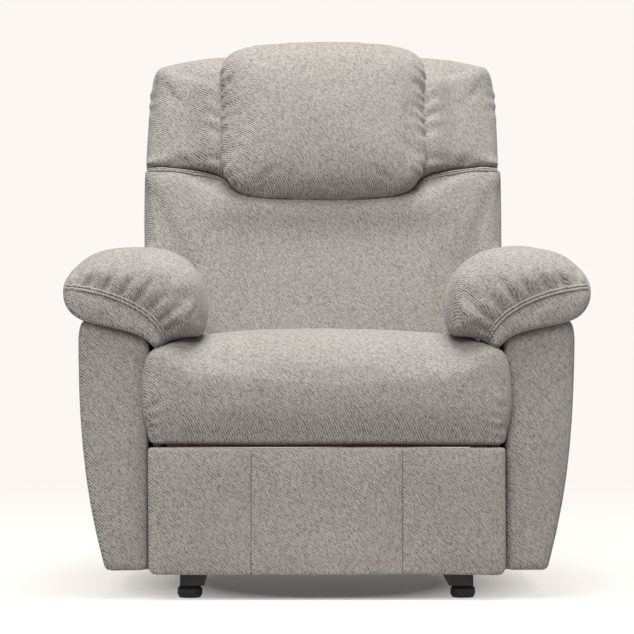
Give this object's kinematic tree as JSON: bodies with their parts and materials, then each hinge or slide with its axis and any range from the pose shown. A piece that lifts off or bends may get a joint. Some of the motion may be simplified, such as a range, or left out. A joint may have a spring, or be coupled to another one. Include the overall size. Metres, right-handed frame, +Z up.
{
  "type": "recliner armchair",
  "caption": "Upholstered manual recliner armchair with overstuffed pillow arms, a padded headrest, a reclining back, a gliding seat and a fold-out footrest.",
  "frame": {"origin": "on the floor under the centre of the chair's bounding box, chair upright and closed", "axes": "+X to the sitter's left, +Y to the rear so the sitter faces -Y, +Z up"},
  "size_m": [0.95, 0.934, 1.0567],
  "materials": {
    "upholstery": "matte pebbled woven upholstery cloth, warm light grey",
    "wood": "raw plywood and sawn softwood",
    "steel": "black satin paint",
    "plastic": "moulded black, matte",
    "cable": "black sheath",
    "webbing": "dark woven elastic webbing"
  },
  "bodies": {
    "base": {"arm_front_cover_left": "upholstery", "arm_front_cover_right": "upholstery", "arm_inner_panel_left": "wood", "arm_inner_panel_right": "wood", "arm_pad_left": "upholstery", "arm_pad_right": "upholstery", "arm_rear_board_left": "wood", "arm_rear_board_right": "wood", "arm_side_cover_left": "upholstery", "arm_side_cover_right": "upholstery", "arm_top_board_left": "wood", "arm_top_board_right": "wood", "base_rail_left": "steel", "base_rail_right": "steel", "base_side_plate_left": "steel", "base_side_plate_right": "steel", "foot_front_left": "plastic", "foot_front_right": "plastic", "foot_rear_left": "plastic", "foot_rear_right": "plastic", "front_cross_beam": "steel", "rear_cross_beam": "steel", "release_cable": "cable", "release_cup": "plastic"},
    "rear_glide_links": {"rear_glide_link_left": "steel", "rear_glide_link_right": "steel"},
    "front_glide_links": {"front_glide_link_left": "steel", "front_glide_link_right": "steel"},
    "recline_drive_links": {"recline_drive_link_left": "steel", "recline_drive_link_right": "steel"},
    "seat": {"seat_cushion": "upholstery", "seat_front_rail": "wood", "seat_rear_rail": "wood", "seat_side_plate_left": "steel", "seat_side_plate_right": "steel", "seat_webbing": "webbing"},
    "back": {"back_bottom_rail": "wood", "back_hinge_plate_left": "steel", "back_hinge_plate_right": "steel", "back_lower_cushion": "upholstery", "back_post_left": "wood", "back_post_right": "wood", "back_rear_cover": "upholstery", "back_top_rail": "wood", "headrest_pillow": "upholstery", "shoulder_cushion": "upholstery"},
    "footrest_rear_links": {"footrest_rear_link_left": "steel", "footrest_rear_link_right": "steel", "knee_cross_tube": "steel"},
    "footrest_front_links": {"footrest_front_link_left": "steel", "footrest_front_link_right": "steel"},
    "footrest": {"footrest_board": "wood", "footrest_bracket_left": "steel", "footrest_bracket_right": "steel", "footrest_pad": "upholstery"},
    "footrest_steering_links": {"footrest_steering_link_left": "steel", "footrest_steering_link_right": "steel"},
    "footrest_control_links": {"footrest_control_link_left": "steel", "footrest_control_link_right": "steel"},
    "release_paddle": {"release_paddle": "plastic"}
  },
  "joints": [
    {"name": "back_recline", "type": "hinge", "parent": "seat", "child": "back", "pos_m": [0, 0.215, 0.315], "axis": [-1, 0, 0], "range_deg": [0, 40]},
    {"name": "rear_glide_swing", "type": "hinge", "parent": "base", "child": "rear_glide_links", "pos_m": [0, 0.15, 0.13], "axis": [1, 0, 0], "range_deg": [0, 39]},
    {"name": "seat_on_rear_glide", "type": "hinge", "parent": "rear_glide_links", "child": "seat", "pos_m": [0, 0.18, 0.21485], "axis": [-1, 0, 0], "range_deg": [0, 39]},
    {"name": "front_glide_swing", "type": "hinge", "parent": "base", "child": "front_glide_links", "pos_m": [0, -0.16, 0.13], "axis": [1, 0, 0], "range_deg": [0, 39]},
    {"name": "recline_drive_swing", "type": "hinge", "parent": "base", "child": "recline_drive_links", "pos_m": [0, 0.2509, 0.1076], "axis": [1, 0, 0], "range_deg": [0, 29.4]},
    {"name": "footrest_extend", "type": "hinge", "parent": "seat", "child": "footrest_rear_links", "pos_m": [0, -0.318, 0.248], "axis": [-1, 0, 0], "range_deg": [0, 86]},
    {"name": "footrest_knee", "type": "hinge", "parent": "footrest_rear_links", "child": "footrest_front_links", "pos_m": [0, -0.331, 0.065], "axis": [1, 0, 0], "range_deg": [0, 127.5]},
    {"name": "footrest_tilt", "type": "hinge", "parent": "footrest_front_links", "child": "footrest", "pos_m": [0, -0.396, 0.214], "axis": [-1, 0, 0], "range_deg": [0, 126.7]},
    {"name": "footrest_steering", "type": "hinge", "parent": "seat", "child": "footrest_steering_links", "pos_m": [0, -0.2575, 0.256], "axis": [-1, 0, 0], "range_deg": [0, 80]},
    {"name": "footrest_control", "type": "hinge", "parent": "footrest_steering_links", "child": "footrest_control_links", "pos_m": [0, -0.296, 0.085], "axis": [1, 0, 0], "range_deg": [0, 119.6]},
    {"name": "release_pull", "type": "hinge", "parent": "base", "child": "release_paddle", "pos_m": [-0.4375, -0.18, 0.4335], "axis": [0, 1, 0], "range_deg": [0, 20], "stiffness_Nm_per_rad": 1.5}
  ],
  "couplings": [
    {"joint": "rear_glide_swing", "follows": "back_recline", "ratio": 0.97356},
    {"joint": "seat_on_rear_glide", "follows": "back_recline", "ratio": 0.97356},
    {"joint": "front_glide_swing", "follows": "back_recline", "ratio": 0.97356},
    {"joint": "recline_drive_swing", "follows": "back_recline", "ratio": 0.73425},
    {"joint": "footrest_knee", "follows": "footrest_extend", "ratio": 1.4814},
    {"joint": "footrest_tilt", "follows": "footrest_extend", "ratio": 1.4721},
    {"joint": "footrest_steering", "follows": "footrest_extend", "ratio": 0.92779},
    {"joint": "footrest_control", "follows": "footrest_extend", "ratio": 1.3892}
  ]
}
